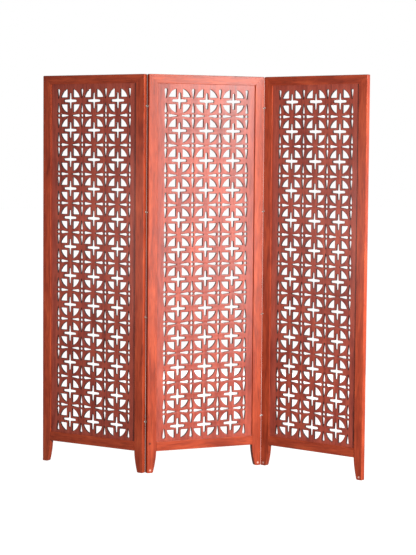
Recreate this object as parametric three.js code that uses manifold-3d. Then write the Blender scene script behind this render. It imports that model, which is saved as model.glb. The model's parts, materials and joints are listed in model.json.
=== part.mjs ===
// A three-leaf folding screen in stained hardwood. Each leaf is a frame of two stiles, a mitred
// top rail and a bottom rail, with a board pierced by fretwork held in grooves. The leaves are
// joined by flat brass pivot hinges let into the stile edges.
// Millimetres, +Z up, front towards -Y. The origin is under the middle of the standing screen.
import * as THREE from "three";
import { mergeVertices } from "three/addons/utils/BufferGeometryUtils.js";
import Module from "manifold-3d";

const wasm = await Module();
wasm.setup();

// Driving dimensions
const pitch = 127;            // one fret cell
const columns = 3;
const rows = 12;
const leafWidth = 542;
const leafThickness = 22;
const stileWidth = 42.5;
const topRailHeight = 38;
const bottomRailHeight = 41;
const legHeight = 93;         // clear height under the bottom rail
const marginAbove = 72;       // top row's centres to the top rail
const marginBelow = 62;       // lowest row's centres to the bottom rail
const footWidth = 27;         // stile width where it meets the floor
const footRound = 5;          // rounding of the foot's inner corner
const boardThickness = 9.5;
const boardTongue = 7;        // board edge inside the groove
const grooveDepth = 8;
const fitGap = 0.3;           // gap between touching pieces
const leafGap = 0.3;          // gap between two leaves laid flat
const leftFold = 57.7;        // degrees from flat, as it stands
const rightFold = 64.7;

// Hinges. A plate's knuckle spreads from its own stile's edge towards the other leaf.
const hingeHeights = [221, 670, 1119, 1568];
const axisOffset = 0.15;      // hinge axis outside the leaf's face
const plateThickness = 2.4;
const pinRadius = 1.2;
const eyeRadius = 2.3;        // brass about the pin
const knuckleReach = 10.5;
const knuckleSpread = 29;     // degrees
const tongueLength = 20;
const tongueNear = 3;         // tongue edges, inward from the axis
const tongueFar = 7.5;

// Fret openings, as parts of the pitch from a cell's centre
const crossReach = 0.27;
const crossArm = 0.052;
const sectorInner = 0.12;
const sectorReach = 0.425;

// Worked out from the above
const openingWidth = leafWidth - 2 * stileWidth;
const openingBottom = legHeight + bottomRailHeight;
const openingHeight = (rows - 1) * pitch + marginAbove + marginBelow;
const leafHeight = openingBottom + openingHeight + topRailHeight;
const lowestRow = openingBottom + marginBelow;
const axisDepth = leafThickness / 2 + axisOffset;
const axisReach = (leafWidth + leafGap) / 2;
const degrees = Math.PI / 180;

const wood = new THREE.MeshStandardMaterial({ color: 0x8f3f2b, roughness: 0.42, metalness: 0 });
const fretWood = new THREE.MeshStandardMaterial({ color: 0x7e3527, roughness: 0.48, metalness: 0 });
const brass = new THREE.MeshStandardMaterial({ color: 0xc9a063, roughness: 0.35, metalness: 1 });

// Solids and plain geometry
function toSolid(geometry) {
  const bare = geometry.index ? geometry.toNonIndexed() : geometry.clone();
  bare.deleteAttribute("normal");
  bare.deleteAttribute("uv");
  const merged = mergeVertices(bare, 1e-4);
  return new wasm.Manifold(new wasm.Mesh({
    numProp: 3,
    vertProperties: new Float32Array(merged.attributes.position.array),
    triVerts: new Uint32Array(merged.index.array),
  }));
}

function toGeometry(solid) {
  const mesh = solid.getMesh();
  const corners = new Float32Array(mesh.vertProperties);
  const geometry = new THREE.BufferGeometry();
  geometry.setAttribute("position", new THREE.BufferAttribute(corners, 3));
  geometry.setIndex(new THREE.BufferAttribute(new Uint32Array(mesh.triVerts), 1));
  return geometry;
}

function boxBetween(low, high) {
  const geometry = new THREE.BoxGeometry(high[0] - low[0], high[1] - low[1], high[2] - low[2]);
  geometry.translate((low[0] + high[0]) / 2, (low[1] + high[1]) / 2, (low[2] + high[2]) / 2);
  return geometry;
}

function extruded(shape, depth) {
  return new THREE.ExtrudeGeometry(shape, { depth, bevelEnabled: false, curveSegments: 4 });
}

// An outline drawn in X and Z, given its thickness along Y and centred on the leaf's mid-plane
function upright(shape, thickness) {
  const geometry = extruded(shape, thickness);
  geometry.rotateX(Math.PI / 2);
  geometry.translate(0, thickness / 2, 0);
  return geometry;
}

// Frame members, drawn for a leaf centred on X = 0. side is -1 for the left stile, 1 for the right.
function stileOutline(side) {
  const outer = side * leafWidth / 2;
  const inner = side * openingWidth / 2;
  const toe = outer - side * footWidth;
  const shoulder = leafHeight - topRailHeight;
  const shape = new THREE.Shape();
  shape.moveTo(outer, 0);
  shape.lineTo(outer, leafHeight - fitGap);
  shape.lineTo(inner, shoulder - fitGap);
  shape.lineTo(inner, legHeight);
  shape.quadraticCurveTo(inner + side * 2, legHeight * 0.5, toe - side * 0.5, footRound);
  shape.quadraticCurveTo(toe, 0, toe + side * footRound, 0);
  return shape;
}

function groove(side) {
  const inner = side * openingWidth / 2;
  const halfGroove = boardThickness / 2 + fitGap;
  const xs = [inner - side * grooveDepth, inner + side * grooveDepth].sort((a, b) => a - b);
  return boxBetween(
    [xs[0], -halfGroove, openingBottom - grooveDepth],
    [xs[1], halfGroove, openingBottom + openingHeight + grooveDepth],
  );
}

// Hinge shapes are drawn about the hinge axis: X into the stile that carries the plate, Y inward
// from the leaf's face. face is 1 where the axis is at the back of the leaf, -1 at its front.
function atHinge(shape, side, face, base, height) {
  const placed = new THREE.Matrix4().makeTranslation(side * axisReach, face * axisDepth, base);
  placed.multiply(new THREE.Matrix4().makeScale(-side, -face, 1));
  return toSolid(extruded(shape, height)).transform(placed.elements);
}

function circle(radius) {
  return new THREE.Shape().absarc(0, 0, radius, 0, 2 * Math.PI, false);
}

function rectangle(left, bottom, right, top) {
  const corners = [[left, bottom], [right, bottom], [right, top], [left, top]];
  return new THREE.Shape(corners.map(([x, y]) => new THREE.Vector2(x, y)));
}

// A slice of a disc between two angles, in degrees
function slice(radius, start, end) {
  const shape = new THREE.Shape();
  shape.moveTo(0, 0);
  const steps = 4;
  for (let step = 0; step <= steps; step++) {
    const angle = (start + (end - start) * step / steps) * degrees;
    shape.lineTo(radius * Math.cos(angle), radius * Math.sin(angle));
  }
  return shape;
}

// The stack of two plates at one height: the centre leaf's plate is the upper one
function plateBase(height, upper) {
  const stack = 2 * plateThickness + fitGap;
  return height - stack / 2 + (upper ? plateThickness + fitGap : 0);
}

// Room for a hinge in one stile: the eye, the other plate's knuckle and this plate's tongue
function hingePocket(side, face, height, upper) {
  const low = plateBase(height, false) - fitGap;
  const tall = 2 * plateThickness + 3 * fitGap;
  const eye = atHinge(circle(eyeRadius + fitGap), side, face, low, tall);
  const knuckleRoom = slice(knuckleReach + fitGap, 88 - knuckleSpread, 100);
  const knuckle = atHinge(knuckleRoom, side, face, low, tall);
  const tongue = rectangle(-1, tongueNear - fitGap, tongueLength + fitGap, tongueFar + fitGap);
  const slotBase = plateBase(height, upper) - fitGap;
  const slot = atHinge(tongue, side, face, slotBase, plateThickness + 2 * fitGap);
  return wasm.Manifold.union([eye, knuckle, slot]);
}

function stile(side, hingeFace, upper) {
  let solid = toSolid(upright(stileOutline(side), leafThickness)).subtract(toSolid(groove(side)));
  if (hingeFace !== 0) {
    for (const height of hingeHeights) {
      solid = solid.subtract(hingePocket(side, hingeFace, height, upper));
    }
  }
  return toGeometry(solid);
}

function topRail() {
  const outer = leafWidth / 2;
  const inner = openingWidth / 2;
  const top = leafHeight;
  const shoulder = leafHeight - topRailHeight;
  const shape = new THREE.Shape([
    new THREE.Vector2(-inner, shoulder),
    new THREE.Vector2(inner, shoulder),
    new THREE.Vector2(outer, top),
    new THREE.Vector2(-outer, top),
  ]);
  const halfGroove = boardThickness / 2 + fitGap;
  const slot = boxBetween([-leafWidth, -halfGroove, 0], [leafWidth, halfGroove, shoulder + grooveDepth]);
  return toGeometry(toSolid(upright(shape, leafThickness)).subtract(toSolid(slot)));
}

function bottomRail() {
  const half = openingWidth / 2 - fitGap;
  const halfGroove = boardThickness / 2 + fitGap;
  const rail = boxBetween(
    [-half, -leafThickness / 2, legHeight],
    [half, leafThickness / 2, openingBottom],
  );
  const slot = boxBetween(
    [-leafWidth, -halfGroove, openingBottom - grooveDepth],
    [leafWidth, halfGroove, leafHeight],
  );
  return toGeometry(toSolid(rail).subtract(toSolid(slot)));
}

// Fret openings about a cell's centre, as outlines in X and Z
function crossOpening(x, z) {
  const reach = crossReach * pitch;
  const arm = crossArm * pitch;
  const points = [];
  for (let quarter = 0; quarter < 4; quarter++) {
    const turn = quarter * Math.PI / 2;
    points.push(new THREE.Vector2(reach, 0).rotateAround(new THREE.Vector2(), turn));
    points.push(new THREE.Vector2(arm, arm).rotateAround(new THREE.Vector2(), turn));
  }
  return new THREE.Shape(points.map((point) => point.add(new THREE.Vector2(x, z))));
}

function sectorOpening(x, z, right, up) {
  const near = sectorInner * pitch;
  const far = sectorReach * pitch;
  return new THREE.Shape([
    new THREE.Vector2(x + right * near, z + up * near),
    new THREE.Vector2(x + right * far, z + up * near),
    new THREE.Vector2(x + right * near, z + up * far),
  ]);
}

function fretOpenings() {
  const shapes = [];
  for (let row = 0; row < rows; row++) {
    for (let column = 0; column < columns; column++) {
      const x = (column - (columns - 1) / 2) * pitch;
      const z = lowestRow + row * pitch;
      shapes.push(crossOpening(x, z));
      for (const right of [-1, 1]) {
        for (const up of [-1, 1]) shapes.push(sectorOpening(x, z, right, up));
      }
    }
  }
  return wasm.Manifold.union(shapes.map((shape) => toSolid(upright(shape, 2 * boardThickness))));
}

const openings = fretOpenings();

function fretBoard() {
  const half = openingWidth / 2 + boardTongue;
  const board = boxBetween(
    [-half, -boardThickness / 2, openingBottom - boardTongue],
    [half, boardThickness / 2, openingBottom + openingHeight + boardTongue],
  );
  return toGeometry(toSolid(board).subtract(openings));
}

// One brass plate: an eye about the pin, a knuckle and a tongue that runs into the stile. The
// upper plate carries the pin, and the lower one has its hole.
function hingePlate(side, face, height, upper) {
  const base = plateBase(height, upper);
  const flat = (shape) => atHinge(shape, side, face, base, plateThickness);
  const plate = wasm.Manifold.union([
    flat(circle(eyeRadius)),
    flat(slice(knuckleReach, 90, 90 + knuckleSpread)),
    flat(rectangle(-0.5, tongueNear, tongueLength, tongueFar)),
  ]);
  if (!upper) return toGeometry(plate.subtract(flat(circle(pinRadius + fitGap))));
  const pinLength = 2 * plateThickness + fitGap;
  const pin = atHinge(circle(pinRadius), side, face, plateBase(height, false), pinLength);
  return toGeometry(plate.add(pin));
}

function piece(name, geometry, material) {
  const mesh = new THREE.Mesh(geometry, material);
  mesh.name = name;
  return mesh;
}

// One leaf. hinges lists the stiles that carry hinge plates: their side, face and plate level.
function leaf(name, hinges) {
  const group = new THREE.Group();
  for (const [side, label] of [[-1, "left_stile"], [1, "right_stile"]]) {
    const hinge = hinges.find((entry) => entry.side === side);
    const face = hinge ? hinge.face : 0;
    group.add(piece(`${name}_${label}`, stile(side, face, hinge ? hinge.upper : false), wood));
  }
  group.add(piece(`${name}_top_rail`, topRail(), wood));
  group.add(piece(`${name}_bottom_rail`, bottomRail(), wood));
  group.add(piece(`${name}_fret_board`, fretBoard(), fretWood));
  for (const hinge of hinges) {
    hingeHeights.forEach((height, index) => {
      const plate = hingePlate(hinge.side, hinge.face, height, hinge.upper);
      const level = hinge.upper ? "upper" : "lower";
      group.add(piece(`${hinge.name}_${index + 1}_${level}_plate`, plate, brass));
    });
  }
  return group;
}

// A leaf turned about its hinge axis. side says which side of the centre leaf it stands on.
function foldedLeaf(group, side, face, fold) {
  const hingePoint = new THREE.Group();
  hingePoint.position.set(side * axisReach, face * axisDepth, 0);
  hingePoint.rotation.z = -fold * degrees;
  group.position.set(side * axisReach, -face * axisDepth, 0);
  hingePoint.add(group);
  return hingePoint;
}

const leftHinge = { name: "left_hinge", face: 1 };
const rightHinge = { name: "right_hinge", face: -1 };

const standing = new THREE.Group();
standing.add(leaf("centre", [
  { ...leftHinge, side: -1, upper: true },
  { ...rightHinge, side: 1, upper: true },
]));
standing.add(foldedLeaf(leaf("left", [{ ...leftHinge, side: 1, upper: false }]), -1, 1, leftFold));
standing.add(foldedLeaf(leaf("right", [{ ...rightHinge, side: -1, upper: false }]), 1, -1, rightFold));

// Bring the middle of the standing screen's box over the origin
standing.updateMatrixWorld(true);
const standingBox = new THREE.Box3().setFromObject(standing, true);
standing.position.x = -(standingBox.min.x + standingBox.max.x) / 2;
standing.position.y = -(standingBox.min.y + standingBox.max.y) / 2;

const group = new THREE.Group();
group.add(standing);
export default group;
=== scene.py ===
import json
import math

import bmesh
import bpy
from mathutils import Matrix, Vector


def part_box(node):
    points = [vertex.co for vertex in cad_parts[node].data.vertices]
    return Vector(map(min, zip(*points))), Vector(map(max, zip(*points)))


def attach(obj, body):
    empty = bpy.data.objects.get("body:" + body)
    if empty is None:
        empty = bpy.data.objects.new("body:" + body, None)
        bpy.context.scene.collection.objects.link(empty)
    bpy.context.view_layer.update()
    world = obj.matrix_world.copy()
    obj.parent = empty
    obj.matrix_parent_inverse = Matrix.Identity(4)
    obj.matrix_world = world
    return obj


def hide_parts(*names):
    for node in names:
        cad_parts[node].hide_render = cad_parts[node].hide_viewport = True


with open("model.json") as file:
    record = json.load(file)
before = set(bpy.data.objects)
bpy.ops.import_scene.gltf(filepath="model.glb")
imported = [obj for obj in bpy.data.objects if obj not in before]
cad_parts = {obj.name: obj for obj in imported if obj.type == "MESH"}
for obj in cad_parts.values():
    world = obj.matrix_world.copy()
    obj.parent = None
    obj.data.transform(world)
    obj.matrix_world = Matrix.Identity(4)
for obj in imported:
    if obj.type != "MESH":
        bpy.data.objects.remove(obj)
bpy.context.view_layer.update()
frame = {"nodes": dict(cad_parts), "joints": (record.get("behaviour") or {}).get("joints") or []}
print("frame loaded")

# The leaf, measured on the frame. In a leaf's own coordinates X runs along it from its middle,
# its front faces -Y and Z is up.
stileLow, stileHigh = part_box("centre_left_stile")
farLow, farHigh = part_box("centre_right_stile")
topRailLow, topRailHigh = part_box("centre_top_rail")
bottomRailLow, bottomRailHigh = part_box("centre_bottom_rail")
boardLow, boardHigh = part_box("centre_fret_board")

leaf = {
    "middle": Vector(((stileLow.x + farHigh.x) / 2, (stileLow.y + stileHigh.y) / 2, 0)),
    "halfWidth": (farHigh.x - stileLow.x) / 2,
    "halfThickness": (stileHigh.y - stileLow.y) / 2,
    "height": topRailHigh.z,
    "shoulder": topRailLow.z,
    "legs": bottomRailLow.z,
    "sill": bottomRailHigh.z,
    "halfBoard": (boardHigh.y - boardLow.y) / 2,
    "tongue": bottomRailHigh.z - boardLow.z,
    "fitGap": 0.0003,
    "outerRounding": 0.0022,
    "innerRounding": 0.0016,
    "hingedRounding": 0.0002,  # where two leaves meet
    "roundSteps": 3,
    "spare": 0.05,  # left on for the mitre to saw off
    "sharpAngle": math.radians(60),
    "smoothAngle": math.radians(40),
    "wallFalloff": 0.25,
}
leaf["halfOpening"] = leaf["halfWidth"] - (stileHigh.x - stileLow.x)


# Where each leaf stands: laid flat beside the centre one, then folded about its joint.
def leafPlaces():
    centre = Matrix.Translation(leaf["middle"])
    places = {"centre": centre}
    for joint in frame["joints"]:
        axis = Vector((joint["pos_m"][0], joint["pos_m"][1], 0))
        fold = math.radians(joint["range_deg"][1])
        flat = Matrix.Translation((2 * (axis.x - leaf["middle"].x), 0, 0)) @ centre
        folding = Matrix.Rotation(-fold, 4, "Z")
        turn = Matrix.Translation(axis) @ folding @ Matrix.Translation(-axis)
        places[joint["name"].split("_")[0]] = turn @ flat
    return places


places = leafPlaces()


def deselectAll():
    bpy.ops.object.select_all(action="DESELECT")


# A box primitive between two corners, left active in edit mode.
def startBox(name, low, high):
    deselectAll()
    middle = (Vector(low) + Vector(high)) / 2
    bpy.ops.mesh.primitive_cube_add(size=1, location=middle)
    piece = bpy.context.object
    piece.name = name
    piece.scale = Vector(high) - Vector(low)
    bpy.ops.object.transform_apply(location=True, rotation=False, scale=True)
    bpy.ops.object.mode_set(mode="EDIT")
    return piece


def pick(kind, test):
    bpy.ops.mesh.select_mode(type=kind)
    bpy.ops.mesh.select_all(action="DESELECT")
    mesh = bmesh.from_edit_mesh(bpy.context.object.data)
    for item in {"VERT": mesh.verts, "EDGE": mesh.edges, "FACE": mesh.faces}[kind]:
        if test(item):
            item.select_set(True)
    mesh.select_flush_mode()
    bmesh.update_edit_mesh(bpy.context.object.data)


def cut(point, normal, remove=False):
    bpy.ops.mesh.select_all(action="SELECT")
    bpy.ops.mesh.bisect(plane_co=point, plane_no=normal, use_fill=remove, clear_outer=remove)


def near(a, b):
    tolerance = 1e-5
    return abs(a - b) < tolerance


def bothEnds(edge, test):
    return all(test(vert.co) for vert in edge.verts)


def roundEdges(test, width, steps):
    pick("EDGE", test)
    bpy.ops.mesh.bevel(offset=width, offset_type="OFFSET", segments=steps)


def leaveEdit():
    bpy.ops.mesh.select_all(action="SELECT")
    bpy.ops.mesh.normals_make_consistent(inside=False)
    bpy.ops.object.mode_set(mode="OBJECT")


# Saw off the corner of the frame along the mitre, and ease the corner itself.
mitre = {"play": 0.00015, "cornerEase": 0.0022}


def cutMitre(side, keepRail):
    stileWidth = leaf["halfWidth"] - leaf["halfOpening"]
    run = Vector((side * stileWidth, 0, leaf["height"] - leaf["shoulder"]))
    across = Vector((-run.z * side, 0, run.x * side)).normalized()
    if keepRail:
        across.negate()
    point = Vector((side * leaf["halfOpening"], 0, leaf["shoulder"])) - across * mitre["play"]
    cut(point, across, remove=True)
    corner = Vector((side * leaf["halfWidth"], 0, leaf["height"]))
    outward = Vector((side, 0, 1)).normalized()
    cut(corner - outward * mitre["cornerEase"], outward, remove=True)


# Stiles: the lower end is the foot, drawn in on its inner side.
foot = {
    "width": 0.0270,
    "curve": 1.7,
    "levels": 12,
    "innerRound": 0.005,
    "innerSteps": 4,
    "outerRound": 0.0025,
    "outerSteps": 3,
}


def footInset(z):
    taper = leaf["halfWidth"] - leaf["halfOpening"] - foot["width"]
    return taper * (1 - z / leaf["legs"]) ** foot["curve"]


# hingeFace is 1 for a stile hinged at its back, -1 at its front and 0 for a free edge.
def makeStile(side, hingeFace):
    outer = side * leaf["halfWidth"]
    inner = side * leaf["halfOpening"]
    half = leaf["halfThickness"]
    low = (min(outer, inner), -half, 0)
    high = (max(outer, inner), half, leaf["height"] + leaf["spare"])
    piece = startBox("stilePattern", low, high)
    for level in range(1, foot["levels"] + 1):
        cut((0, 0, leaf["legs"] * level / foot["levels"]), (0, 0, 1))
    for level in range(foot["levels"]):
        z = leaf["legs"] * level / foot["levels"]
        pick("VERT", lambda vert: near(vert.co.x, inner) and near(vert.co.z, z))
        bpy.ops.transform.translate(value=(side * footInset(z), 0, 0))
    toe = inner + side * footInset(0)

    def underFoot(edge, x):
        return bothEnds(edge, lambda p: near(p.z, 0) and near(p.x, x))

    roundEdges(lambda e: underFoot(e, toe), foot["innerRound"], foot["innerSteps"])
    roundEdges(lambda e: underFoot(e, outer), foot["outerRound"], foot["outerSteps"])

    def arris(edge, face, onOuter):
        if not bothEnds(edge, lambda p: near(p.y, face * half)):
            return False
        if edge.calc_face_angle(0) < leaf["sharpAngle"]:
            return False
        isTop = bothEnds(edge, lambda p: near(p.z, high[2]))
        return not isTop and bothEnds(edge, lambda p: near(p.x, outer)) == onOuter

    for face in (-1, 1):
        width = leaf["hingedRounding"] if face == hingeFace else leaf["outerRounding"]
        roundEdges(lambda e: arris(e, face, True), width, leaf["roundSteps"])
        roundEdges(lambda e: arris(e, face, False), leaf["innerRounding"], leaf["roundSteps"])
    grooveHalf = leaf["halfBoard"] + leaf["fitGap"]
    grooveEnd = leaf["sill"] - leaf["tongue"] - leaf["fitGap"]
    cut((0, grooveHalf, 0), (0, 1, 0))
    cut((0, -grooveHalf, 0), (0, 1, 0))
    cut((0, 0, grooveEnd), (0, 0, 1))

    def inGroove(face):
        middle = face.calc_center_median()
        facing = face.normal.x * side < -0.99
        return facing and abs(middle.y) < grooveHalf and middle.z > grooveEnd

    pick("FACE", inGroove)
    bpy.ops.mesh.extrude_region_move()
    bpy.ops.transform.translate(value=(side * (leaf["tongue"] + leaf["fitGap"]), 0, 0))
    cutMitre(side, keepRail=False)
    leaveEdit()
    return piece


# Rails: the top one is mitred, the bottom one butts between the stiles.
def makeRail(isTop):
    half = leaf["halfThickness"]
    reach = leaf["halfWidth"] + leaf["spare"] if isTop else leaf["halfOpening"] - leaf["fitGap"]
    low = leaf["shoulder"] if isTop else leaf["legs"]
    high = leaf["height"] if isTop else leaf["sill"]
    piece = startBox("rail", (-reach, -half, low), (reach, half, high))

    def along(edge, level):
        first, second = (vert.co for vert in edge.verts)
        return near(first.z, level) and near(second.z, level) and near(first.y, second.y)

    outside, inside = (high, low) if isTop else (low, high)
    outsideRounding = leaf["outerRounding"] if isTop else leaf["innerRounding"]
    roundEdges(lambda e: along(e, outside), outsideRounding, leaf["roundSteps"])
    roundEdges(lambda e: along(e, inside), leaf["innerRounding"], leaf["roundSteps"])
    grooveHalf = leaf["halfBoard"] + leaf["fitGap"]
    cut((0, grooveHalf, 0), (0, 1, 0))
    cut((0, -grooveHalf, 0), (0, 1, 0))
    facing = -1 if isTop else 1

    def inGroove(face):
        return face.normal.z * facing > 0.99 and abs(face.calc_center_median().y) < grooveHalf

    pick("FACE", inGroove)
    bpy.ops.mesh.extrude_region_move()
    bpy.ops.transform.translate(value=(0, 0, -facing * (leaf["tongue"] + leaf["fitGap"])))
    if isTop:
        cutMitre(-1, keepRail=True)
        cutMitre(1, keepRail=True)
    leaveEdit()
    return piece


# Hinge pockets: a notch in the stile's edge, and a slot for the plate's tongue. Lengths run from
# the hinge axis into the stile, and depths from it towards the other face.
hinge = {
    "count": 4,
    "notchLength": 0.0058,
    "notchDepth": 0.0108,
    "slotLength": 0.0203,
    "slotDepths": (0.0027, 0.0078),
    "play": 0.0003,
    "past": 0.001,  # how far a cut runs out of the wood
}


def cutAway(piece, cutter):
    bpy.ops.object.mode_set(mode="OBJECT")
    deselectAll()
    piece.select_set(True)
    bpy.context.view_layer.objects.active = piece
    tool = piece.modifiers.new("pocket", "BOOLEAN")
    tool.operation = "DIFFERENCE"
    tool.solver = "EXACT"
    tool.object = cutter
    bpy.ops.object.modifier_apply(modifier=tool.name)
    bpy.data.objects.remove(cutter, do_unlink=True)


def cutPockets(piece, side, face, level):
    name = "left_hinge" if face == 1 else "right_hinge"
    joint = leftJoint if face == 1 else rightJoint
    axis = Vector((joint["pos_m"][0], joint["pos_m"][1], 0)) - leaf["middle"]
    axis.x = side * abs(axis.x)

    def cutBox(length, depths, base, top):
        xs = sorted([axis.x + side * hinge["past"], axis.x - side * length])
        ys = sorted([axis.y - face * depth for depth in depths])
        low = (xs[0], ys[0], base - hinge["play"])
        high = (xs[1], ys[1], top + hinge["play"])
        cutAway(piece, startBox("pocket", low, high))

    for number in range(1, hinge["count"] + 1):
        lowest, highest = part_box(f"{name}_{number}_upper_plate")
        cutBox(hinge["notchLength"], (-hinge["past"], hinge["notchDepth"]), lowest.z, highest.z)
        if level == "lower":
            lowest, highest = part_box(f"{name}_{number}_lower_plate")
        else:
            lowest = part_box(f"{name}_{number}_lower_plate")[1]
        cutBox(hinge["slotLength"], hinge["slotDepths"], lowest.z, highest.z)


# Fret openings as parts of the pitch, about a cell's centre. Turns are in degrees.
fret = {
    "pitch": 0.127,
    "columns": 3,
    "rows": 12,
    "belowLowest": 0.062,
    "crossReach": 0.267,
    "crossTip": 0.036,
    "crossTipTurns": (-75, 75),
    "crossTipSteps": 6,
    "crossArm": 0.046,
    "crossFillet": 0.020,
    "filletTurns": (260, 190),
    "filletSteps": 3,
    "sectorInner": 0.124,
    "sectorReach": 0.416,
    "sectorSteps": 8,
    "sectorEase": 0.022,
    "easeStops": (0, 0.35, 0.65, 1),
    "easeLimit": 0.8,  # of the side beside the corner
    "dropTip": 0.085,
    "dropTipRadius": 0.012,
    "dropTipTurns": (105, 255),
    "dropTipSteps": 3,
    "dropEnd": 0.402,
    "dropRadius": 0.048,
    "dropTurns": (-97, 97),
    "dropSteps": 9,
    "nodeRadius": 0.047,
    "nodeSteps": 14,
    "edgeEase": 0.0020,
    "edgeSteps": 2,
    "mergeDistance": 1e-6,
}


def arc(x, y, radius, turns, steps):
    start, end = turns
    angles = [math.radians(start + (end - start) * step / steps) for step in range(steps + 1)]
    return [(x + radius * math.cos(angle), y + radius * math.sin(angle)) for angle in angles]


def turned(outline, quarterTurns):
    angle = quarterTurns * math.pi / 2
    cosine, sine = round(math.cos(angle)), round(math.sin(angle))
    return [(x * cosine - y * sine, x * sine + y * cosine) for x, y in outline]


def crossOutline():
    tip, arm, soft = fret["crossTip"], fret["crossArm"], fret["crossFillet"]
    quarter = arc(fret["crossReach"] - tip, 0, tip, fret["crossTipTurns"], fret["crossTipSteps"])
    quarter += arc(arm + soft, arm + soft, soft, fret["filletTurns"], fret["filletSteps"])
    outline = []
    for turn in range(4):
        outline += turned(quarter, turn)
    return outline


# Ease the given corners of an outline, each with a short curve.
def easeCorners(corners, outline, ease):
    eased = []
    for index, point in enumerate(outline):
        if index not in corners:
            eased.append(point)
            continue
        here = Vector(point)
        before = Vector(outline[index - 1]) - here
        after = Vector(outline[(index + 1) % len(outline)]) - here
        start = here + before.normalized() * min(ease, before.length * fret["easeLimit"])
        end = here + after.normalized() * min(ease, after.length * fret["easeLimit"])
        for t in fret["easeStops"]:
            eased.append(tuple(start * (1 - t) ** 2 + here * 2 * t * (1 - t) + end * t * t))
    return eased


def sectorOutline():
    inner, reach = fret["sectorInner"], fret["sectorReach"]
    start = math.degrees(math.asin(inner / reach))
    outline = [(inner, inner)] + arc(0, 0, reach, (start, 90 - start), fret["sectorSteps"])
    return easeCorners([0, 1, len(outline) - 1], outline, fret["sectorEase"])


def dropOutline():
    radius, tip = fret["dropRadius"], fret["dropTipRadius"]
    outline = arc(fret["dropEnd"] - radius, 0, radius, fret["dropTurns"], fret["dropSteps"])
    outline += arc(fret["dropTip"] + tip, 0, tip, fret["dropTipTurns"], fret["dropTipSteps"])
    return outline


def nodeOutline():
    return arc(0, 0, fret["nodeRadius"], (0, 360), fret["nodeSteps"])[:-1]


# Every opening of a board: its outline and the point it is cut at, in pitches from the middle
# cell of the lowest row.
def openings():
    cross, sector, drop, node = crossOutline(), sectorOutline(), dropOutline(), nodeOutline()
    cuts = []
    half = fret["columns"] / 2
    for row in range(fret["rows"]):
        for column in range(fret["columns"]):
            x = column - half + 0.5
            cuts.append((cross, x, row))
            cuts += [(turned(sector, turn), x, row) for turn in range(4)]
            if row:
                cuts += [(turned(drop, turn), x, row - 0.5) for turn in (0, 2)]
        for line in range(fret["columns"] + 1):
            x = line - half
            cuts += [(turned(drop, turn), x, row) for turn in (1, 3)]
            if row:
                cuts.append((node, x, row - 0.5))
    return cuts


def addOutline(curve, points):
    spline = curve.splines.new("POLY")
    spline.points.add(len(points) - 1)
    for point, (x, y) in zip(spline.points, points):
        point.co = (x, y, 0, 1)
    spline.use_cyclic_u = True


def makeBoard():
    deselectAll()
    curve = bpy.data.curves.new("fretBoard", "CURVE")
    curve.dimensions = "2D"
    curve.fill_mode = "BOTH"
    curve.extrude = leaf["halfBoard"] - fret["edgeEase"]
    curve.bevel_depth = fret["edgeEase"]
    curve.bevel_resolution = fret["edgeSteps"] - 1
    curve.offset = -fret["edgeEase"]
    right = leaf["halfOpening"] + leaf["tongue"]
    bottom = leaf["sill"] - leaf["tongue"]
    top = leaf["shoulder"] + leaf["tongue"]
    addOutline(curve, [(-right, bottom), (right, bottom), (right, top), (-right, top)])
    lowest = leaf["sill"] + fret["belowLowest"]
    for outline, x, row in openings():
        points = [((x + u) * fret["pitch"], lowest + (row + v) * fret["pitch"]) for u, v in outline]
        addOutline(curve, points)
    board = bpy.data.objects.new("fretBoard", curve)
    bpy.context.scene.collection.objects.link(board)
    board.select_set(True)
    bpy.context.view_layer.objects.active = board
    bpy.ops.object.convert(target="MESH")
    board = bpy.context.object
    board.rotation_euler = (math.pi / 2, 0, 0)
    bpy.ops.object.transform_apply(location=False, rotation=True, scale=False)
    bpy.ops.object.mode_set(mode="EDIT")
    bpy.ops.mesh.select_all(action="SELECT")
    bpy.ops.mesh.remove_doubles(threshold=fret["mergeDistance"])
    leaveEdit()
    return board


# Wood. The grain attribute holds each point in its piece's own directions, with the grain along Z,
# and a shift of its own so that no two pieces are alike. The wall attribute is 1 on faces that
# run through the leaf, such as the sides of the fret's openings, less on eased edges and 0 in front.
def giveGrain(piece, lengthwise, shift):
    data = piece.data
    field = data.attributes.new("grain", "FLOAT_VECTOR", "POINT")
    values = []
    for vertex in data.vertices:
        x, y, z = vertex.co
        along = (z, y, x) if lengthwise == "X" else (x, y, z)
        values += [a + b for a, b in zip(along, shift)]
    field.data.foreach_set("vector", values)
    # The wall attribute darkens the colour of these faces as painted shade, and raises their specular.
    walls = data.attributes.new("wall", "FLOAT", "FACE")
    facing = [max(0, 1 - abs(face.normal.y)) for face in data.polygons]
    walls.data.foreach_set("value", [amount ** leaf["wallFalloff"] for amount in facing])


# Each noise is (scale, detail, roughness, distortion).
frameWood = {
    "dark": (0.155, 0.018, 0.008, 1),
    "middle": (0.265, 0.036, 0.013, 1),
    "light": (0.370, 0.062, 0.022, 1),
    "streaks": ((44, 44, 4.5), 7, 0.62, 0.8),
    "streakStops": (0.28, 0.50, 0.74),
    "patches": ((6.5, 6.5, 6.5), 3, 0.5, 0.0),
    "patchStops": (0.30, 0.52, 0.74),
    "patchShades": ((0.62, 0.52, 0.50, 1), (1, 1, 1, 1), (1.25, 1.32, 1.20, 1)),
    "patchStrength": 0.42,
    "pores": ((620, 620, 26), 3, 0.6, 0.0),
    "poreStops": (0.36, 0.48),
    "poreDepth": 0.30,
    "flecks": ((150, 150, 15), 3, 0.65, 0.5),
    "fleckRange": (0.30, 0.52),
    "fleckDepth": 0.24,
    "roughness": (0.30, 0.42),
    "specular": 0.29,
    "bump": 0.10,
    "bumpDistance": 0.0004,
    "paintedWallShade": 1.0,
    "wallSpecular": 0.29,
}
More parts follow.
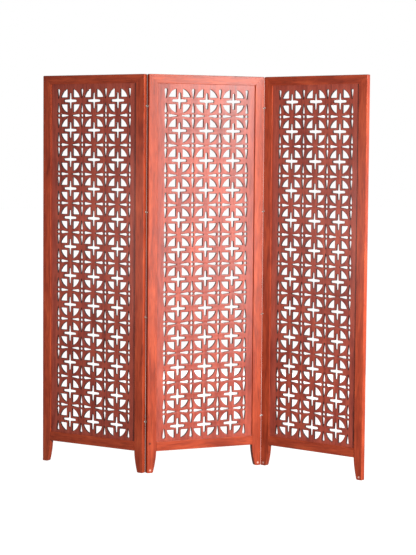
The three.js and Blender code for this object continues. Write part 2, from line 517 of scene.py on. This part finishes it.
boardWood = {
    **frameWood,
    "dark": (0.140, 0.021, 0.014, 1),
    "middle": (0.240, 0.041, 0.025, 1),
    "light": (0.320, 0.064, 0.037, 1),
    "streaks": ((36, 36, 4.0), 7, 0.62, 0.8),
    "roughness": (0.30, 0.44),
    "specular": 0.34,
    # painted shade on the sides of the fret's openings
    "paintedWallShade": 0.14,
    "wallSpecular": 0.70,
}


class Nodes:
    def __init__(self, name):
        self.material = bpy.data.materials.new(name)
        self.material.use_nodes = True
        self.tree = self.material.node_tree
        self.shader = self.tree.nodes["Principled BSDF"]

    def add(self, kind, **settings):
        node = self.tree.nodes.new(kind)
        for key, value in settings.items():
            setattr(node, key, value)
        return node

    def join(self, source, target):
        self.tree.links.new(source, target)


def ramp(nodes, source, stops):
    node = nodes.add("ShaderNodeValToRGB")
    elements = node.color_ramp.elements
    while len(elements) < len(stops):
        elements.new(0.5)
    for element, (position, colour) in zip(elements, stops):
        element.position = position
        element.color = colour
    nodes.join(source, node.inputs["Fac"])
    return node.outputs["Color"]


def noise(nodes, coordinates, kind):
    scale, detail, roughness, distortion = kind
    mapping = nodes.add("ShaderNodeMapping")
    mapping.inputs["Scale"].default_value = scale
    nodes.join(coordinates, mapping.inputs["Vector"])
    node = nodes.add("ShaderNodeTexNoise")
    node.inputs["Scale"].default_value = 1
    node.inputs["Detail"].default_value = detail
    node.inputs["Roughness"].default_value = roughness
    node.inputs["Distortion"].default_value = distortion
    nodes.join(mapping.outputs["Vector"], node.inputs["Vector"])
    return node.outputs["Fac"]


def mixed(nodes, kind, factor, first, second):
    node = nodes.add("ShaderNodeMix", data_type="RGBA", blend_type=kind)
    if isinstance(factor, float):
        node.inputs["Factor"].default_value = factor
    else:
        nodes.join(factor, node.inputs["Factor"])
    for value, socket in ((first, node.inputs["A"]), (second, node.inputs["B"])):
        if isinstance(value, tuple):
            socket.default_value = value
        else:
            nodes.join(value, socket)
    return node.outputs["Result"]


def mappedTo(nodes, source, low, high, fromLow=0.0, fromHigh=1.0):
    node = nodes.add("ShaderNodeMapRange")
    limits = {"From Min": fromLow, "From Max": fromHigh, "To Min": low, "To Max": high}
    for name, value in limits.items():
        node.inputs[name].default_value = value
    nodes.join(source, node.inputs["Value"])
    return node.outputs["Result"]


# A soft-edged round mark at one place on the wood, 1 at its middle
def roundMark(nodes, coordinates, place, radius):
    solidPart = 0.55
    node = nodes.add("ShaderNodeVectorMath", operation="DISTANCE")
    nodes.join(coordinates, node.inputs[0])
    node.inputs[1].default_value = place
    return mappedTo(nodes, node.outputs["Value"], 1.0, 0.0, radius * solidPart, radius)


def makeWood(name, wood, marks=()):
    nodes = Nodes(name)
    coordinates = nodes.add("ShaderNodeAttribute", attribute_name="grain").outputs["Vector"]
    streaks = noise(nodes, coordinates, wood["streaks"])
    shades = (wood["dark"], wood["middle"], wood["light"])
    colour = ramp(nodes, streaks, list(zip(wood["streakStops"], shades)))
    patches = noise(nodes, coordinates, wood["patches"])
    shade = ramp(nodes, patches, list(zip(wood["patchStops"], wood["patchShades"])))
    colour = mixed(nodes, "MULTIPLY", wood["patchStrength"], colour, shade)
    pores = noise(nodes, coordinates, wood["pores"])
    pores = ramp(nodes, pores, list(zip(wood["poreStops"], ((0, 0, 0, 1), (1, 1, 1, 1)))))
    dimmed = mappedTo(nodes, pores, 1 - wood["poreDepth"], 1.0)
    colour = mixed(nodes, "MULTIPLY", 1.0, colour, dimmed)
    flecks = noise(nodes, coordinates, wood["flecks"])
    dimmed = mappedTo(nodes, flecks, 1 - wood["fleckDepth"], 1.0, *wood["fleckRange"])
    colour = mixed(nodes, "MULTIPLY", 1.0, colour, dimmed)
    # Round marks: a dark plug, and pale glints on the feet, which are painted highlights.
    for place, radius, paint, strength in marks:
        mark = roundMark(nodes, coordinates, place, radius)
        colour = mixed(nodes, "MIX", mappedTo(nodes, mark, 0.0, strength), colour, paint)
    # The sides of the openings and the eased edges are darkened along the wall attribute: painted
    # shade. Their specular is raised as well.
    wall = nodes.add("ShaderNodeAttribute", attribute_name="wall").outputs["Fac"]
    dimmed = mappedTo(nodes, wall, 1.0, wood["paintedWallShade"])
    colour = mixed(nodes, "MULTIPLY", 1.0, colour, dimmed)
    nodes.join(colour, nodes.shader.inputs["Base Color"])
    nodes.join(mappedTo(nodes, streaks, *wood["roughness"]), nodes.shader.inputs["Roughness"])
    sheen = mappedTo(nodes, wall, wood["specular"], wood["wallSpecular"])
    nodes.join(sheen, nodes.shader.inputs["Specular IOR Level"])
    bump = nodes.add("ShaderNodeBump")
    bump.inputs["Strength"].default_value = wood["bump"]
    bump.inputs["Distance"].default_value = wood["bumpDistance"]
    nodes.join(pores, bump.inputs["Height"])
    nodes.join(bump.outputs["Normal"], nodes.shader.inputs["Normal"])
    return nodes.material


brass = {
    "bright": (0.62, 0.43, 0.23, 1),
    "worn": (0.34, 0.22, 0.11, 1),
    "tarnish": ((260, 260, 260), 4, 0.6, 0.0),
    "tarnishStops": (0.35, 0.60),
    "smoothest": 0.26,
    "roughest": 0.46,
    "shades": {"left": 1.0, "right": 0.22},
}


def makeBrass(name, shade):
    nodes = Nodes(name)
    coordinates = nodes.add("ShaderNodeTexCoord").outputs["Object"]
    tarnish = noise(nodes, coordinates, brass["tarnish"])
    colour = ramp(nodes, tarnish, list(zip(brass["tarnishStops"], (brass["worn"], brass["bright"]))))
    colour = mixed(nodes, "MULTIPLY", 1.0, colour, (shade, shade, shade, 1))
    nodes.join(colour, nodes.shader.inputs["Base Color"])
    roughness = mappedTo(nodes, tarnish, brass["roughest"], brass["smoothest"])
    nodes.join(roughness, nodes.shader.inputs["Roughness"])
    nodes.shader.inputs["Metallic"].default_value = 1
    return nodes.material


# Build one of each wooden piece, then a copy for each leaf.
leftJoint = next(joint for joint in frame["joints"] if joint["name"].startswith("left"))
rightJoint = next(joint for joint in frame["joints"] if joint["name"].startswith("right"))

patterns = {"top_rail": makeRail(True), "bottom_rail": makeRail(False)}
print("rails modelled")
patterns["fret_board"] = makeBoard()
print("fret board cut:", len(patterns["fret_board"].data.polygons), "faces")

grainShift = {
    "left": Vector((0.0, 0.0, 0.0)),
    "centre": Vector((5.0, 0.0, 2.0)),
    "right": Vector((11.0, 0.0, 7.0)),
}
pieceShift = {
    "left_stile": Vector((0.0, 0.0, 0.0)),
    "right_stile": Vector((0.7, 0.0, 0.9)),
    "top_rail": Vector((1.9, 0.0, 3.0)),
    "bottom_rail": Vector((2.6, 0.0, 4.0)),
    "fret_board": Vector((0.3, 1.0, 0.4)),
}

# A dark plug low on the centre leaf's left stile, and a pale glint painted low on each foot as a
# painted highlight
worn = {
    "plugPlace": Vector((-0.259, -0.011, 0.1275)),
    "plugPaint": (0.06, 0.012, 0.008, 1),
    "plugRadius": 0.0065,
    "plugStrength": 0.85,
    "glintPaint": (0.95, 0.72, 0.62, 1),
    "glintRadius": 0.0055,
    "glintStrength": 0.30,
    "glintHeight": 0.012,
    "glintFromMiddle": 0.257,
}


# The plug is a real dark mark; the pale spots on the feet of the centre and right leaves are painted
# highlights (glints).
def plugAndPaintedGlintMarks():
    plug = grainShift["centre"] + pieceShift["left_stile"] + worn["plugPlace"]
    marks = [(plug, worn["plugRadius"], worn["plugPaint"], worn["plugStrength"])]
    for name in ("centre", "right"):
        for side, stile in ((-1, "left_stile"), (1, "right_stile")):
            x = side * worn["glintFromMiddle"]
            place = Vector((x, -leaf["halfThickness"], worn["glintHeight"]))
            place += grainShift[name] + pieceShift[stile]
            marks.append((place, worn["glintRadius"], worn["glintPaint"], worn["glintStrength"]))
    return marks


woods = {
    "frame_wood": makeWood("mahoganyFrame", frameWood, plugAndPaintedGlintMarks()),
    "fret_wood": makeWood("mahoganyFret", boardWood),
}
print("materials made")

# Each stile's side, the face that its hinges are let into, and the level of its plates
stiles = {
    ("left", "left_stile"): (-1, 0, None),
    ("left", "right_stile"): (1, 1, "lower"),
    ("centre", "left_stile"): (-1, 1, "upper"),
    ("centre", "right_stile"): (1, -1, "upper"),
    ("right", "left_stile"): (-1, -1, "lower"),
    ("right", "right_stile"): (1, 0, None),
}


def finishPiece(piece, leafName, part):
    piece.name = f"{leafName}_{part}_wood"
    piece.data.name = piece.name
    giveGrain(piece, "X" if "rail" in part else "Z", grainShift[leafName] + pieceShift[part])
    piece.data.transform(places[leafName])
    slotName = "fret_wood" if part == "fret_board" else "frame_wood"
    piece.data.materials.clear()
    piece.data.materials.append(woods[slotName])
    deselectAll()
    piece.select_set(True)
    bpy.context.view_layer.objects.active = piece
    bpy.ops.object.shade_smooth_by_angle(angle=leaf["smoothAngle"])
    piece.modifiers.new("flatFaces", "WEIGHTED_NORMAL").keep_sharp = True
    bpy.ops.object.modifier_apply(modifier="flatFaces")
    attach(piece, f"{leafName}_leaf")
    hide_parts(f"{leafName}_{part}")


for (leafName, part), (side, hingeFace, level) in stiles.items():
    stile = makeStile(side, hingeFace)
    if hingeFace:
        cutPockets(stile, side, hingeFace, level)
    finishPiece(stile, leafName, part)
for leafName in places:
    for part, pattern in patterns.items():
        copied = pattern.copy()
        copied.data = pattern.data.copy()
        bpy.context.scene.collection.objects.link(copied)
        finishPiece(copied, leafName, part)
for pattern in patterns.values():
    bpy.data.objects.remove(pattern, do_unlink=True)
print("leaves standing")

finishes = {}
for fold, shade in brass["shades"].items():
    finishes[fold] = makeBrass(f"{fold}HingeBrass", shade)
for nodeName, node in frame["nodes"].items():
    if nodeName.endswith("plate"):
        node.data.materials.clear()
        node.data.materials.append(finishes[nodeName.split("_")[0]])

# Floor, light and camera
stage = {
    "floorSize": 60,
    "floorHeight": -0.0005,
    "floorRoughness": 0.9,
    "floorColour": (0.15, 0.15, 0.15, 1),
    "floorGlow": 1.0,
    "backdrop": (1.0, 1.0, 1.0, 1),
    "surround": 0.26,
}


def makeFloor():
    deselectAll()
    bpy.ops.mesh.primitive_plane_add(size=stage["floorSize"], location=(0, 0, stage["floorHeight"]))
    floor = bpy.context.object
    floor.name = "paleFloor"
    nodes = Nodes("paleFloor")
    nodes.shader.inputs["Base Color"].default_value = stage["floorColour"]
    nodes.shader.inputs["Roughness"].default_value = stage["floorRoughness"]
    nodes.shader.inputs["Specular IOR Level"].default_value = 0.0
    nodes.shader.inputs["Emission Color"].default_value = (1, 1, 1, 1)
    nodes.shader.inputs["Emission Strength"].default_value = stage["floorGlow"]
    floor.data.materials.append(nodes.material)
    floor.visible_diffuse = False  # the surround lights the wood instead
    floor.visible_glossy = False


def makeWorld():
    world = bpy.data.worlds.new("studio")
    bpy.context.scene.world = world
    world.use_nodes = True
    tree = world.node_tree
    tree.nodes.clear()
    output = tree.nodes.new("ShaderNodeOutputWorld")
    blend = tree.nodes.new("ShaderNodeMixShader")
    seen = tree.nodes.new("ShaderNodeBackground")
    seen.inputs["Color"].default_value = stage["backdrop"]
    light = tree.nodes.new("ShaderNodeBackground")
    light.inputs["Color"].default_value = (1, 1, 1, 1)
    light.inputs["Strength"].default_value = stage["surround"]
    path = tree.nodes.new("ShaderNodeLightPath")
    tree.links.new(path.outputs["Is Camera Ray"], blend.inputs["Fac"])
    tree.links.new(light.outputs["Background"], blend.inputs[1])
    tree.links.new(seen.outputs["Background"], blend.inputs[2])
    tree.links.new(blend.outputs["Shader"], output.inputs["Surface"])


# Soft boxes round the centre leaf. bearing is in degrees from its front, positive to its right,
# and each is aimed at a height on the leaf's middle.
lights = {
    "highRight": {"bearing": 30, "distance": 3.0, "height": 1.95, "aim": 1.6, "size": 0.6, "power": 72},
    "front": {"bearing": 1, "distance": 3.4, "height": 0.95, "aim": 0.7, "size": 0.6, "power": 220},
    "lowRight": {"bearing": 27, "distance": 3.0, "height": 0.75, "aim": 0.75, "size": 0.8, "power": 36},
    "farRight": {"bearing": 85, "distance": 2.6, "height": 1.3, "aim": 1.0, "size": 1.2, "power": 9},
    "left": {"bearing": -75, "distance": 1.4, "height": 1.0, "aim": 0.95, "size": 0.7, "power": 7},
    "behind": {"bearing": 150, "distance": 3.4, "height": 0.4, "aim": 0.9, "size": 1.2, "power": 75},
}


def makeLights():
    for name, setting in lights.items():
        data = bpy.data.lights.new(name, "AREA")
        data.energy = setting["power"]
        data.size = setting["size"]
        lamp = bpy.data.objects.new(name, data)
        bearing = math.radians(setting["bearing"])
        outward = Vector((math.sin(bearing), -math.cos(bearing), 0)) * setting["distance"]
        lamp.location = leaf["middle"] + outward + Vector((0, 0, setting["height"]))
        target = leaf["middle"] + Vector((0, 0, setting["aim"]))
        lamp.rotation_euler = (target - lamp.location).to_track_quat("-Z", "Y").to_euler()
        lamp.visible_camera = False
        # The front one's glare would hide the leaves in views from the side.
        lamp.visible_glossy = name != "front"
        bpy.context.scene.collection.objects.link(lamp)


camera = {
    "sensor": 36,
    "lens": 113.5,
    "fromMiddle": Vector((-3.128, -6.862, 0)),
    "height": 1.389,
    "heading": 24.6,
    "down": 4.2,
    "roll": 0.47,
}


def makeCamera():
    data = bpy.data.cameras.new("view")
    data.sensor_width = camera["sensor"]
    data.lens = camera["lens"]
    item = bpy.data.objects.new("view", data)
    item.location = leaf["middle"] + camera["fromMiddle"] + Vector((0, 0, camera["height"]))
    turn = Matrix.Rotation(math.radians(-camera["heading"]), 4, "Z")
    tilt = Matrix.Rotation(math.radians(90 - camera["down"]), 4, "X")
    roll = Matrix.Rotation(math.radians(camera["roll"]), 4, "Z")
    item.rotation_euler = (turn @ tilt @ roll).to_euler()
    bpy.context.scene.collection.objects.link(item)
    bpy.context.scene.camera = item


makeFloor()
makeWorld()
makeLights()
makeCamera()
bpy.context.scene.view_settings.view_transform = "Standard"
print("floor, light and camera placed")
